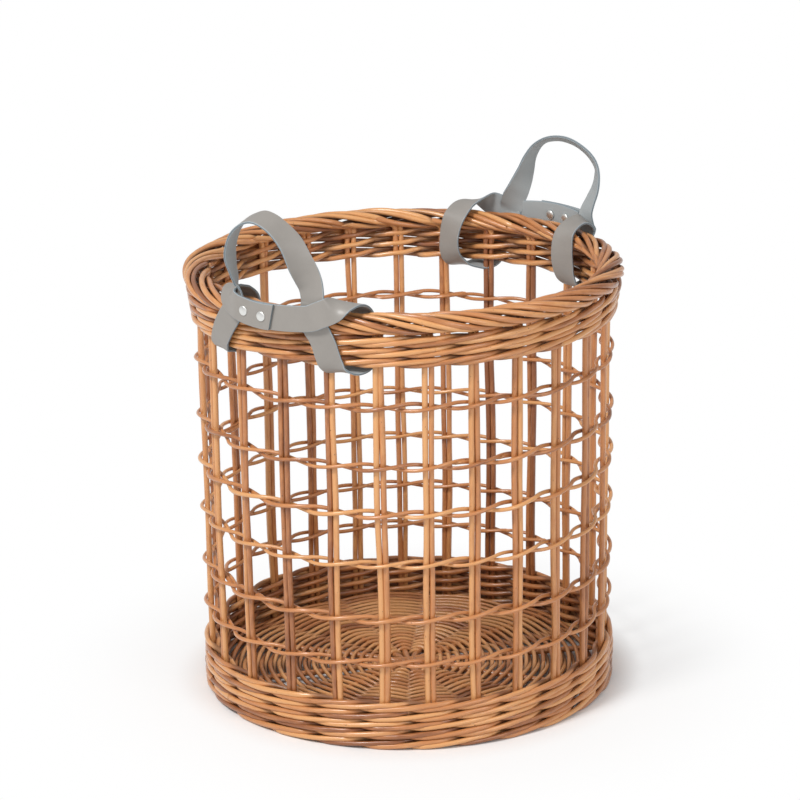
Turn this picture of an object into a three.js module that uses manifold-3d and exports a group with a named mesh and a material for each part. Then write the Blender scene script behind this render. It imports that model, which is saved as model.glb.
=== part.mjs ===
// A round, open-sided willow storage basket with two riveted leather carrying straps.
// Millimetres, +Z up. The origin is the middle of the footprint, on the floor.
// +X and -X point at the two carrying straps. Angles run counter-clockwise seen from above.

import * as THREE from "three";
import { mergeVertices } from "three/addons/utils/BufferGeometryUtils.js";
import Module from "manifold-3d";

// The basket as a whole
const basketHeight = 434;
const stakeRadius = 200;
const seatGap = 0.3;
const cutOverrun = 2;

// Upright stakes, two rods side by side in each pair
const stakePairs = 24;
const stakeRodDiameter = 5.5;
const stakeRodSpacing = 5.1;
const stakeLobePoints = 4;
const stakeLobeTurn = 200;
const stakeFloorHeight = 5;

// Hand spacing: degrees by which the pairs run ahead of an even division of the ring
const spacingSetBack = -3.3;
const spacingOnceRound = -3.2;
const spacingTwiceRound = 3.3;

// Open rows of pairing, each of two weavers that cross between the stakes
const weaverDiameter = 4;
const weaverSides = 5;
const weaverCrossingGap = 0.8;
const pairingRowShares = [0.115, 0.25, 0.415, 0.565, 0.705, 0.88];

// Closely woven bands of waling at the foot and under the border. Each reaches inside and
// outside the ring of stakes, and the upper one flares.
const footBandHeight = 48;
const footBandInside = 7;
const footBandOutside = 8;
const footBandRounds = 5;
const rimBandHeight = 31;
const rimBandInside = 9.5;
const rimBandOutside = 8;
const rimBandFlare = 5.5;
const rimBandRounds = 3;
const strokeDepth = 3.4;
const bandEdgeRound = 3;

// Rolled border along the top
const borderHeight = 20;
const borderInside = 10;
const borderOutside = 16.5;
const borderStrands = 6;
const borderGrooveDepth = 1.6;

// Woven base. Three sticks pass through three more and open into twelve spokes, and each
// spoke ends between two stake pairs.
const baseThickness = 10.4;
const baseFloorHeight = 2.8;
const baseEyeRadius = 26;
const baseWeaveRows = 12;
const baseStrokeDepth = 3.6;
const spokeWidth = 6;
const spokeHeight = 4.6;
const slathSticks = 3;
const slathStickSpacing = 7;
const slathReach = 13;

// Leather straps
const strapWidth = 25;
const strapThickness = 2.3;
const strapRimGap = 0.9;
const strapHollowGap = 0.9;
const strapLegGap = 0.8;
const strapBelowTop = 6;
const strapFoldRise = 6;
const overlapEnd = 7;
const underlapShort = 9;
const lapStations = 5;
const hingeAboveStrap = 5.5;
const hingeGap = 0.35;
const hingeStraight = 8;
const loopFootShare = 0.84;
const loopLean = 17;
const loopSteps = 28;
const rightLoopRise = 62;
const rightLoopSway = -11;
const rightHandleSlip = -3.5;
const leftLoopRise = 74;
const leftLoopSway = 0;
const leftHandleSlip = 0;

// Rivets through both layers of each strap
const rivetPlaces = [4, 25];
const rivetHeadDiameter = 9.5;
const rivetHeadHeight = 1.1;
const rivetCapHeight = 1.6;
const rivetPostDiameter = 3.2;
const rivetSides = 10;

// Route of a strap round the rim, from the outside over the top, down the inside and up again.
// Columns: share of the way from the loop's foot to the gap that it drops through, first for the
// half that lies below at the rivets and then for the other, share of the way across the rim,
// share of the way up the rim, and the side that it faces in degrees (0 out, 90 up, 180 in).
const foldShares = [
  [0.48, 0.56, 1.045, 1.03, 22],
  [0.66, 0.63, 0.98, 1.075, 42],
  [0.81, 0.7, 0.83, 1.09, 62],
  [0.98, 0.74, 0.58, 1.07, 86],
  [1.17, 0.75, 0.34, 1.045, 112],
  [1.37, 0.74, 0.12, 0.97, 142],
  [1.49, 0.72, 0, 0.85, 166],
  [1.58, 0.69, 0, 0.68, 180],
  [1.58, 0.68, 0, 0.46, 180],
  [1.47, 0.71, 0, 0.27, 180],
  [1.32, 0.76, -0.01, 0.12, 186],
  [1.19, 0.8, 0.05, 0.005, 225],
  [1.06, 0.83, 0.2, -0.02, 265],
  [0.96, 0.85, 0.4, -0.02, 270],
  [0.87, 0.86, 0.6, -0.02, 275],
  [0.81, 0.83, 0.72, 0.03, 316],
  [0.74, 0.79, 0.765, 0.12, 346],
  [0.57, 0.62, 0.85, 0.32, 347],
  [0.36, 0.46, 0.94, 0.55, 350],
  [0.17, 0.34, 1.01, 0.72, 356],
  [0.03, 0.18, 1.02, 0.85, 360],
];

// Half of a carrying loop, from a foot to the top. Columns: share of half the foot spacing,
// share of the rise, and the way that the face looks: out of the basket, aside and up.
const loopShares = [
  [1, 0, 1, 0, 0],
  [1, 0.16, 1, 0.1, 0],
  [0.97, 0.3, 0.65, 0.75, 0],
  [0.9, 0.46, 0.4, 0.92, 0.05],
  [0.8, 0.65, 0.32, 0.88, 0.3],
  [0.62, 0.84, 0.27, 0.65, 0.65],
  [0.34, 0.96, 0.25, 0.35, 0.9],
  [0, 1, 0.25, 0, 0.97],
];

// The two handles: the stake pair that each sits at, how many degrees it has slipped off that
// pair, and how its loop stands
const handles = [
  { side: "right", place: 0, slip: rightHandleSlip, rise: rightLoopRise, sway: rightLoopSway },
  { side: "left", place: stakePairs / 2, slip: leftHandleSlip, rise: leftLoopRise, sway: leftLoopSway },
];

// Places that follow from the sizes
const stakePitch = (2 * Math.PI * stakeRadius) / stakePairs;
const footBandTop = footBandHeight;
const footBandInner = stakeRadius - footBandInside;
const footBandOuter = stakeRadius + footBandOutside;
const rimBandInner = stakeRadius - rimBandInside;
const rimBandOuterBottom = stakeRadius + rimBandOutside;
const rimBandOuterTop = rimBandOuterBottom + rimBandFlare;
const borderInner = stakeRadius - borderInside;
const borderOuter = stakeRadius + borderOutside;
const borderBottom = basketHeight - borderHeight;
const rimBandTop = borderBottom - seatGap;
const rimBandBottom = rimBandTop - rimBandHeight;
const baseTop = baseFloorHeight + baseThickness;
const baseOuter = footBandInner - seatGap;
const borderMiddle = (borderInner + borderOuter) / 2;
const rimInnerFace = Math.min(borderInner, rimBandInner);
const strapInnerPath = rimInnerFace - strapHollowGap - strapThickness / 2;
const strapOuterPath = borderOuter + strapRimGap + strapThickness / 2;
const strapUnderPath = rimBandBottom - strapRimGap - strapThickness / 2;
const strapOverPath = basketHeight + strapRimGap + strapThickness / 2;
const underlapPath = strapOuterPath + strapThickness + strapLegGap;
const overlapPath = underlapPath + strapThickness + seatGap;
const strapStandHeight = basketHeight - strapBelowTop;
const hingeHeight = strapStandHeight + strapFoldRise + strapWidth / 2 + hingeAboveStrap;
const loopFootHalf = loopFootShare * stakePitch;
const underlapEnd = loopFootHalf - underlapShort;
const hingeReach =
  Math.sqrt((underlapPath - strapThickness / 2) ** 2 - (loopFootHalf + strapWidth / 2) ** 2) -
  seatGap -
  strapThickness / 2;

const willow = new THREE.MeshStandardMaterial({ color: 0xc08a55, roughness: 0.55, metalness: 0 });
const paleWillow = new THREE.MeshStandardMaterial({ color: 0xcf9c66, roughness: 0.5, metalness: 0 });
const greyLeather = new THREE.MeshStandardMaterial({ color: 0xa39d97, roughness: 0.5, metalness: 0 });
const nickel = new THREE.MeshStandardMaterial({ color: 0xd9d9d6, roughness: 0.2, metalness: 1 });

const wasm = await Module();
wasm.setup();

// A closed geometry as a solid that can be cut and joined.
function solidOf(geometry) {
  const bare = geometry.clone();
  bare.deleteAttribute("normal");
  bare.deleteAttribute("uv");
  const merged = mergeVertices(bare);
  return new wasm.Manifold(
    new wasm.Mesh({
      numProp: 3,
      vertProperties: new Float32Array(merged.attributes.position.array),
      triVerts: new Uint32Array(merged.index.array),
    }),
  );
}

// A solid as a geometry that a mesh can hold.
function geometryOf(solid) {
  const mesh = solid.getMesh();
  const geometry = new THREE.BufferGeometry();
  geometry.setAttribute("position", new THREE.BufferAttribute(new Float32Array(mesh.vertProperties), 3));
  geometry.setIndex(new THREE.BufferAttribute(new Uint32Array(mesh.triVerts), 1));
  geometry.computeVertexNormals();
  return geometry;
}

function meshOf(name, geometry, material) {
  const mesh = new THREE.Mesh(geometry, material.clone());
  mesh.name = name;
  return mesh;
}

// Angle of a stake pair. A place between two pairs is a fraction.
function stakeAngle(place) {
  const even = (2 * Math.PI * place) / stakePairs;
  const ahead =
    spacingSetBack + spacingOnceRound * Math.cos(even) + spacingTwiceRound * Math.cos(2 * even);
  return even + THREE.MathUtils.degToRad(ahead);
}

function polar(angle, radius, height) {
  return new THREE.Vector3(radius * Math.cos(angle), radius * Math.sin(angle), height);
}

// A closed ring from one loop of [radius, height] points at each stake and each gap.
// The loops run up the outside, in over the top and down the inside.
function ringGeometry(loopAt) {
  const rings = 2 * stakePairs;
  const positions = [];
  const index = [];
  for (let ring = 0; ring < rings; ring += 1) {
    for (const [radius, height] of loopAt(ring)) {
      positions.push(...polar(stakeAngle(ring / 2), radius, height));
    }
  }
  const count = positions.length / 3 / rings;
  for (let ring = 0; ring < rings; ring += 1) {
    const next = (ring + 1) % rings;
    for (let i = 0; i < count; i += 1) {
      const j = (i + 1) % count;
      const corners = [ring * count + i, next * count + i, next * count + j, ring * count + j];
      index.push(corners[0], corners[1], corners[2], corners[0], corners[2], corners[3]);
    }
  }
  const geometry = new THREE.BufferGeometry();
  geometry.setAttribute("position", new THREE.Float32BufferAttribute(positions, 3));
  geometry.setIndex(index);
  geometry.computeVertexNormals();
  return geometry;
}

// Outline of two rods side by side, grown by a clearance. X runs outwards and Y along the ring.
function pairOutline(clearance) {
  const radius = stakeRodDiameter / 2 + clearance;
  const centre = stakeRodSpacing / 2;
  const waist = Math.sqrt(radius ** 2 - centre ** 2);
  const points = [];
  for (const side of [1, -1]) {
    for (let i = 0; i < stakeLobePoints; i += 1) {
      const share = i / (stakeLobePoints - 1) - 1 / 2;
      const turn = THREE.MathUtils.degToRad(stakeLobeTurn) * share;
      points.push(
        new THREE.Vector2(side * -Math.sin(turn) * radius, side * (centre + Math.cos(turn) * radius)),
      );
    }
    points.push(new THREE.Vector2(-side * waist, 0));
  }
  return new THREE.Shape(points);
}

// A stake pair, or the hole for one, standing at its place on the ring.
function stakeGeometry(place, bottom, top, clearance) {
  const geometry = new THREE.ExtrudeGeometry(pairOutline(clearance), {
    depth: top - bottom,
    steps: 1,
    bevelEnabled: false,
  });
  geometry.rotateZ(stakeAngle(place));
  return geometry.translate(...polar(stakeAngle(place), stakeRadius, bottom));
}

// How far a weaver swings off the ring of stakes to pass a pair with the seat gap to spare.
function weaverSwing() {
  const spread = THREE.MathUtils.degToRad(Math.abs(spacingOnceRound) + 2 * Math.abs(spacingTwiceRound));
  const halfPitch = (Math.PI * stakeRadius * (1 - spread)) / stakePairs;
  const clear = (stakeRodDiameter + weaverDiameter) / 2 + seatGap;
  const slope = clear / halfPitch;
  const chordLoss = (halfPitch * stakeRodSpacing) / (4 * stakeRadius);
  return (clear * Math.hypot(1, slope)) / (1 - stakeRodSpacing / 2 / halfPitch) + chordLoss;
}

// One weaver of a pairing row. It goes outside one pair and inside the next, and on its way in
// it crosses over the other weaver.
function weaverGeometry(height, phase) {
  const swing = weaverSwing();
  const lift = (weaverDiameter + weaverCrossingGap) / 2;
  const radius = weaverDiameter / 2;
  return ringGeometry((ring) => {
    const quarter = (ring + 2 * phase) % 4;
    const out = swing * Math.cos((quarter * Math.PI) / 2);
    const up = lift * Math.sin((quarter * Math.PI) / 2);
    const loop = [];
    for (let i = 0; i < weaverSides; i += 1) {
      const turn = (2 * Math.PI * i) / weaverSides;
      loop.push([stakeRadius + out + radius * Math.cos(turn), height + up + radius * Math.sin(turn)]);
    }
    return loop;
  });
}

// A band of waling. Strokes of the rods climb along it, so ridge and groove trade places from
// each stake to the next gap. A hole stands in it for each stake pair.
function bandGeometry(bottom, height, rounds, inner, outerBottom, outerTop, holeBottom) {
  const top = bottom + height;
  const low = bottom + bandEdgeRound;
  const high = top - bandEdgeRound;
  const outerRows = 2 * rounds;
  const innerRows = Math.ceil(rounds / 2);
  const ring = ringGeometry((place) => {
    const loop = [];
    for (let row = 0; row <= outerRows; row += 1) {
      const share = row / outerRows;
      const groove = (row + place) % 2 ? strokeDepth : 0;
      const radius = outerBottom + (outerTop - outerBottom) * share - groove;
      loop.push([radius, low + (high - low) * share]);
    }
    loop.push([outerTop - bandEdgeRound, top]);
    loop.push([inner + bandEdgeRound, top]);
    for (let row = 0; row <= innerRows; row += 1) {
      const groove = (row + place) % 2 ? strokeDepth : 0;
      loop.push([inner + groove, high - ((high - low) * row) / innerRows]);
    }
    loop.push([inner + bandEdgeRound, bottom]);
    loop.push([outerBottom - bandEdgeRound, bottom]);
    return loop;
  });
  let band = solidOf(ring);
  for (let i = 0; i < stakePairs; i += 1) {
    band = band.subtract(solidOf(stakeGeometry(i, holeBottom, top + cutOverrun, seatGap)));
  }
  return geometryOf(band);
}

// The border: strands that climb the outside, lie across the top and drop inside as they go
// round, on a flat seat.
function borderGeometry() {
  const reach = (borderOuter - borderInner) / 2;
  const rise = borderHeight / 2;
  const middle = borderBottom + rise;
  const count = 2 * borderStrands;
  return ringGeometry((place) => {
    const loop = [];
    for (let i = 0; i < count; i += 1) {
      const turn = (2 * Math.PI * i) / count - Math.PI / 2;
      const groove = (i + place) % 2 ? borderGrooveDepth : 0;
      const out = (reach - groove) * Math.cos(turn);
      const up = i === 0 ? -rise : Math.max(-rise, (rise - groove) * Math.sin(turn));
      loop.push([borderMiddle + out, middle + up]);
    }
    return loop;
  });
}

// The weaving of the base, a disc with an eye for the crossed sticks and a tunnel for each
// spoke. Each row rises over one spoke and sinks below the next, and the rows beside it do so
// the other way round.
function baseWeaveGeometry() {
  const step = (baseOuter - baseEyeRadius) / baseWeaveRows;
  const ringsPerSpoke = stakePairs / (2 * slathSticks);
  const firstSpoke = ringsPerSpoke - 1;
  const ring = ringGeometry((place) => {
    const swing = Math.cos((Math.PI * (place - firstSpoke)) / ringsPerSpoke);
    const top = [];
    const underside = [];
    for (let row = 0; row <= baseWeaveRows; row += 1) {
      const radius = baseOuter - step * row;
      const lift = (baseStrokeDepth * (1 + (row % 2 ? swing : -swing))) / 2;
      top.push([radius, baseTop - baseStrokeDepth + lift]);
      underside.push([radius, baseFloorHeight + lift]);
    }
    return [...top, ...underside.reverse()];
  });
  let weave = solidOf(ring);
  for (let i = 0; i < 4 * slathSticks; i += 1) {
    weave = weave.subtract(solidOf(spokeGeometry(i, seatGap)));
  }
  return geometryOf(weave);
}

// A bar of four corners along a line of points, with its side faces upright.
function barGeometry(points, width, height) {
  const positions = [];
  const index = [];
  points.forEach((point, i) => {
    const before = points[Math.max(0, i - 1)];
    const after = points[Math.min(points.length - 1, i + 1)];
    const along = after.clone().sub(before).setZ(0).normalize();
    const side = new THREE.Vector3(-along.y, along.x, 0);
    for (const [across, up] of [[-1, -1], [1, -1], [1, 1], [-1, 1]]) {
      const corner = point.clone().addScaledVector(side, (across * width) / 2);
      positions.push(corner.x, corner.y, corner.z + (up * height) / 2);
    }
  });
  closeTube(index, points.length, 4, false);
  const geometry = new THREE.BufferGeometry();
  geometry.setAttribute("position", new THREE.Float32BufferAttribute(positions, 3));
  geometry.setIndex(index);
  return geometry;
}

// Faces of a tube whose rings have the same number of corners, with a flat cap at each end.
// The four-sided faces are split along the one or the other diagonal.
function closeTube(index, rings, count, isOtherDiagonal) {
  for (let ring = 0; ring < rings - 1; ring += 1) {
    for (let i = 0; i < count; i += 1) {
      const j = (i + 1) % count;
      const [a, b] = [ring * count, (ring + 1) * count];
      index.push(a + i, a + j, isOtherDiagonal ? b + i : b + j);
      index.push(isOtherDiagonal ? a + j : a + i, b + j, b + i);
    }
  }
  const last = (rings - 1) * count;
  for (let i = 1; i < count - 1; i += 1) {
    index.push(0, i + 1, i);
    index.push(last, last + i, last + i + 1);
  }
}

// Half a slath stick: from its lane in the middle cross out to the gap between its two stake
// pairs. A clearance turns it into the tunnel that it lies in.
function spokeGeometry(spoke, clearance) {
  const quarter = Math.floor(spoke / slathSticks);
  const lane = (spoke % slathSticks) - (slathSticks - 1) / 2;
  const stakesPerSpoke = stakePairs / (4 * slathSticks);
  const turn = stakeAngle(stakesPerSpoke * (spoke + 1) - 1 / 2);
  const heading = stakeAngle(stakesPerSpoke * (quarter * slathSticks + (slathSticks + 1) / 2) - 1 / 2);
  const middle = baseFloorHeight + baseThickness / 2;
  const axis = new THREE.Vector3(0, 0, 1);
  const points = [
    new THREE.Vector3(slathReach / 2, lane * slathStickSpacing, middle).applyAxisAngle(axis, heading),
    new THREE.Vector3(slathReach, lane * slathStickSpacing, middle).applyAxisAngle(axis, heading),
    polar(turn, baseEyeRadius - cutOverrun, middle),
    polar(turn, baseOuter - baseThickness + clearance, middle),
  ];
  return barGeometry(points, spokeWidth + 2 * clearance, spokeHeight + 2 * clearance);
}

// The crossed sticks in the middle of the base, spread into spokes. The sticks that go one way
// pass through splits in the others.
function slathGeometry() {
  const span = slathSticks * slathStickSpacing;
  const middle = baseFloorHeight + baseThickness / 2;
  const heading = stakeAngle((stakePairs / (4 * slathSticks)) * ((slathSticks + 1) / 2) - 1 / 2);
  const through = new THREE.BoxGeometry(2 * slathReach, span, spokeHeight);
  const split = new THREE.BoxGeometry(span, 2 * slathReach, spokeHeight + 2 * baseStrokeDepth);
  let slath = solidOf(through.rotateZ(heading).translate(0, 0, middle));
  slath = slath.add(solidOf(split.rotateZ(heading).translate(0, 0, middle)));
  for (let i = 0; i < 4 * slathSticks; i += 1) {
    slath = slath.add(solidOf(spokeGeometry(i, 0)));
  }
  return geometryOf(slath);
}

// A leather strip along stations of a point and the way its outer face looks. A mirrored strip
// has mirrored faces too, so that both wrap the rim alike.
function stripGeometry(stations, steps, isMirrored) {
  const path = new THREE.CatmullRomCurve3(stations.map((s) => s.point), false, "centripetal");
  const looks = new THREE.CatmullRomCurve3(stations.map((s) => s.face));
  const positions = [];
  const index = [];
  for (let i = 0; i <= steps; i += 1) {
    const along = path.getTangent(i / steps);
    const face = looks.getPoint(i / steps);
    face.addScaledVector(along, -face.dot(along)).normalize();
    const side = new THREE.Vector3().crossVectors(face, along);
    for (const [across, out] of [[-1, -1], [1, -1], [1, 1], [-1, 1]]) {
      const corner = path.getPoint(i / steps);
      corner.addScaledVector(side, (across * strapWidth) / 2);
      corner.addScaledVector(face, (out * strapThickness) / 2);
      positions.push(...corner);
    }
  }
  closeTube(index, steps + 1, 4, isMirrored);
  const geometry = new THREE.BufferGeometry();
  geometry.setAttribute("position", new THREE.Float32BufferAttribute(positions, 3));
  geometry.setIndex(index);
  return geometry;
}

// The tapered end of a loop's foot. It reaches no further than half a thickness from the hinge
// line, so that the foot can turn on that line.
function footGeometry(foot, handleAngle) {
  const half = strapThickness / 2;
  const outline = new THREE.Shape([
    new THREE.Vector2(-half, 0),
    new THREE.Vector2(0, -half),
    new THREE.Vector2(half, 0),
    new THREE.Vector2(0, half),
  ]);
  const taper = new THREE.ExtrudeGeometry(outline, { depth: strapWidth, bevelEnabled: false });
  taper.translate(0, 0, -strapWidth / 2).rotateX(Math.PI / 2);
  return taper.rotateZ(handleAngle).translate(...foot);
}

function outward(angle, facing) {
  const turn = THREE.MathUtils.degToRad(facing);
  return polar(angle, Math.cos(turn), Math.sin(turn));
}

// A point of a carrying loop, or of the leg below it, in the upright plane through its hinge.
function handlePoint(handleAngle, out, along, height) {
  return polar(handleAngle, out, height).add(polar(handleAngle + Math.PI / 2, along, 0));
}

// A station where the strap lies along the outside at a length from the handle's middle.
function lapStation(handleAngle, side, length, path) {
  const angle = handleAngle + (side * length) / underlapPath;
  const rise = strapFoldRise * Math.max(0, length / loopFootHalf) ** 2;
  return { point: polar(angle, path, strapStandHeight + rise), face: outward(angle, 0) };
}

// Angle that a handle is centred on.
function angleOf(handle) {
  return stakeAngle(handle.place) + THREE.MathUtils.degToRad(handle.slip);
}

// Half of a handle's strap. Side 1 holds the end that lies below at the rivets, and goes to the
// right seen from outside; side -1 holds the end on top.
function strapHalfGeometry(handle, side) {
  const handleAngle = angleOf(handle);
  const crossing = stakeAngle(handle.place + side * 1.5) - handleAngle;
  const footTurn = (side * loopFootHalf) / underlapPath;
  const isTop = side < 0;
  const stations = [];
  const start = isTop ? -overlapEnd : -underlapEnd;
  const lapLength = (isTop ? underlapEnd + overlapEnd : loopFootHalf) - start;
  for (let i = 0; i <= lapStations; i += 1) {
    const length = start + (lapLength * i) / lapStations;
    stations.push(lapStation(handleAngle, side, length, isTop ? overlapPath : underlapPath));
  }
  stations.push(lapStation(handleAngle, side, loopFootHalf + strapWidth / 4, underlapPath));
  stations.push(lapStation(handleAngle, side, loopFootHalf + strapWidth / 2, underlapPath));
  for (const [underTurn, topTurn, across, up, facing] of foldShares) {
    const turn = THREE.MathUtils.lerp(footTurn, crossing, isTop ? topTurn : underTurn);
    const radius = strapInnerPath + (strapOuterPath - strapInnerPath) * across;
    const height = strapUnderPath + (strapOverPath - strapUnderPath) * up;
    const angle = handleAngle + turn;
    stations.push({ point: polar(angle, radius, height), face: outward(angle, facing) });
  }
  const legEnd = hingeHeight - strapThickness / 2 - hingeGap;
  for (const height of [legEnd - hingeStraight, legEnd]) {
    stations.push({
      point: handlePoint(handleAngle, hingeReach, side * loopFootHalf, height),
      face: outward(handleAngle, 0),
    });
  }
  let strip = solidOf(stripGeometry(stations, stations.length - 1, isTop));
  for (const rivet of rivetPlaces) {
    strip = strip.subtract(solidOf(rivetHoleGeometry(handleAngle, rivet)));
  }
  return geometryOf(strip);
}

// The loop that the hand holds. Its face looks out at the feet and up at the top.
function loopGeometry(handle) {
  const handleAngle = angleOf(handle);
  const right = polar(handleAngle + Math.PI / 2, 1, 0);
  const stationOf = ([along, up, out, aside, above], side) => ({
    point: handlePoint(
      handleAngle,
      hingeReach + loopLean * up,
      side * loopFootHalf * along + handle.sway * up ** 3,
      hingeHeight + handle.rise * up,
    ),
    face: polar(handleAngle, out, above).addScaledVector(right, side * aside),
  });
  const rising = loopShares.map((row) => stationOf(row, 1));
  const falling = loopShares.slice(0, -1).map((row) => stationOf(row, -1));
  const stations = [...rising, ...falling.reverse()];
  let loop = solidOf(stripGeometry(stations, loopSteps, false));
  for (const foot of [stations[0], stations[stations.length - 1]]) {
    loop = loop.add(solidOf(footGeometry(foot.point, handleAngle)));
  }
  return geometryOf(loop);
}

// A rivet is turned about the line that goes outwards through both layers.
function aimOutwards(geometry, handleAngle, rivet) {
  const angle = handleAngle - rivet / underlapPath;
  geometry.rotateX(Math.PI / 2).rotateZ(angle + Math.PI / 2);
  return geometry.translate(0, 0, strapStandHeight);
}

function rivetHoleGeometry(handleAngle, rivet) {
  const radius = rivetPostDiameter / 2 + seatGap;
  const bottom = underlapPath - strapThickness / 2 - seatGap;
  const top = overlapPath + strapThickness / 2 + seatGap;
  const hole = new THREE.CylinderGeometry(radius, radius, top - bottom, rivetSides);
  hole.rotateX(Math.PI / 2).translate(0, 0, (top + bottom) / 2);
  return aimOutwards(hole, handleAngle, rivet);
}

function rivetGeometry(handleAngle, rivet) {
  const bottom = underlapPath - strapThickness / 2 - seatGap;
  const top = overlapPath + strapThickness / 2 + seatGap;
  const head = rivetHeadDiameter / 2;
  const post = rivetPostDiameter / 2;
  const points = [
    new THREE.Vector2(0, bottom - rivetHeadHeight),
    new THREE.Vector2(head, bottom - rivetHeadHeight / 2),
    new THREE.Vector2(head, bottom),
    new THREE.Vector2(post, bottom),
    new THREE.Vector2(post, top),
    new THREE.Vector2(head, top),
    new THREE.Vector2(head * Math.SQRT1_2, top + rivetCapHeight * Math.SQRT1_2),
    new THREE.Vector2(0, top + rivetCapHeight),
  ];
  const lathe = new THREE.LatheGeometry(points, rivetSides).rotateX(Math.PI / 2);
  return aimOutwards(lathe, handleAngle, rivet);
}

const basket = new THREE.Group();

for (let i = 0; i < stakePairs; i += 1) {
  const name = `stake_pair_${String(i + 1).padStart(2, "0")}`;
  const stake = stakeGeometry(i, stakeFloorHeight + seatGap, rimBandTop, 0);
  basket.add(meshOf(name, stake, willow));
}

pairingRowShares.forEach((share, row) => {
  const height = footBandTop + (rimBandBottom - footBandTop) * share;
  basket.add(meshOf(`pairing_${row + 1}_weaver_a`, weaverGeometry(height, 0), paleWillow));
  basket.add(meshOf(`pairing_${row + 1}_weaver_b`, weaverGeometry(height, 1), paleWillow));
});

const footBand = bandGeometry(
  0,
  footBandHeight,
  footBandRounds,
  footBandInner,
  footBandOuter,
  footBandOuter,
  stakeFloorHeight,
);
basket.add(meshOf("foot_waling", footBand, willow));

const rimBand = bandGeometry(
  rimBandBottom,
  rimBandHeight,
  rimBandRounds,
  rimBandInner,
  rimBandOuterBottom,
  rimBandOuterTop,
  rimBandBottom - cutOverrun,
);
basket.add(meshOf("rim_waling", rimBand, willow));
basket.add(meshOf("rim_border", borderGeometry(), willow));
basket.add(meshOf("base_weave", baseWeaveGeometry(), paleWillow));
basket.add(meshOf("base_slath", slathGeometry(), willow));

for (const handle of handles) {
  const { side } = handle;
  basket.add(meshOf(`${side}_strap_under`, strapHalfGeometry(handle, 1), greyLeather));
  basket.add(meshOf(`${side}_strap_over`, strapHalfGeometry(handle, -1), greyLeather));
  basket.add(meshOf(`${side}_carry_loop`, loopGeometry(handle), greyLeather));
  rivetPlaces.forEach((rivet, i) => {
    const geometry = rivetGeometry(angleOf(handle), rivet);
    basket.add(meshOf(`${side}_rivet_${i + 1}`, geometry, nickel));
  });
}

export default basket;
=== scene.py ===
"""Dresses the frame of a round willow basket with woven rods, leather handles and rivets."""

import math

import bpy
import numpy as np
from bpy.props import FloatProperty, FloatVectorProperty, IntProperty, PointerProperty
from bpy.types import Operator, Panel, PropertyGroup
from mathutils import Matrix, Vector


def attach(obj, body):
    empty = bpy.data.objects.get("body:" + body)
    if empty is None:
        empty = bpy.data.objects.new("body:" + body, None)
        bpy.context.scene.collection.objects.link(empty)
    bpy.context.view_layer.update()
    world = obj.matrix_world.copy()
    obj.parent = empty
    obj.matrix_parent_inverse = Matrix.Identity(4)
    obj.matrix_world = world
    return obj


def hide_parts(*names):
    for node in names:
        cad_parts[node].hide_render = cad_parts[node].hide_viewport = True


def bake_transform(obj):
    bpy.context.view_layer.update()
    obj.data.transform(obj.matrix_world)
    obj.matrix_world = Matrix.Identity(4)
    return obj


bl_info = {
    "name": "Willow Basket",
    "version": (1, 0, 0),
    "blender": (4, 5, 0),
    "location": "View3D > Sidebar > Basket",
    "description": "Weaves a round open basket of willow rods with two leather handles",
    "category": "Add Mesh",
}

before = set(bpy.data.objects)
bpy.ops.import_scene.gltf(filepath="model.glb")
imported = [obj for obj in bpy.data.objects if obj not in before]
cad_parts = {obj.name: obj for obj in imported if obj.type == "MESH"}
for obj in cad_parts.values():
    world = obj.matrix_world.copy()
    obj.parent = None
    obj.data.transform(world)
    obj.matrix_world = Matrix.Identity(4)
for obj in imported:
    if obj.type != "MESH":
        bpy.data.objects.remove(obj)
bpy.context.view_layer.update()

# Plain lengths are in millimetres, as a maker writes them. Settings and meshes are in metres.
MM = 0.001

# Stakes: pairs of rods that stand round the wall
STAKE_PAIRS = 24
STAKE_RADIUS_FOOT = 198.9
STAKE_RADIUS_RIM = 200.9
STAKE_HALF_SPREAD = 2.8
STAKE_BOTTOM = 5.5
# How they stray from even spacing, in degrees: all the same, once round and twice round
SET_BACK = -3.3
ONCE_ROUND = -3.2
TWICE_ROUND = 3.3

# Heights of the bands
FOOT_BAND_BOTTOM = 0.6
FOOT_BAND_TOP = 48.0
RIM_BAND_BOTTOM = 382.7
RIM_BAND_TOP = 413.7
BORDER_TOP = 434.0

# Pairing rows, as shares of the open wall
PAIRING_SHARES = (0.115, 0.25, 0.415, 0.565, 0.705, 0.88)

# Straps where they lie along the outside: height and radius of the middle of the leather
STRAP_HEIGHT = 428.0
STRAP_PATH = 222.05

# Handles: name, stake pair, slip in degrees, how much higher the strap's middle lies, the feet of
# the loop, and how far the folds over the rim reach, along the strap from its middle
HANDLES = (
    ("right", 0.0, -3.5, 7.5, (47.0, 51.5), (114.0, 71.3)),
    ("left", 12.0, 0.0, 0.0, (45.0, 43.0), (92.5, 82.0)),
)

# Rivets: places along the strap on top, and how far a handle has them, with that end, moved back
RIVET_PLACES = (4.0, 25.0)
RIVET_SHIFTS = {"right": 8.0, "left": 0.0}

# Kinds of willow: slot, name of the material and how much paler it is
WILLOWS = {"willow": ("Willow", 0.0), "willow_pale": ("Pale willow", 0.1)}


def length_setting(name, text, size):
    return FloatProperty(name=name, description=text, default=size, unit="LENGTH")


def colour_setting(name, text, colour):
    return FloatVectorProperty(name=name, description=text, default=colour, subtype="COLOR")


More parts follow.
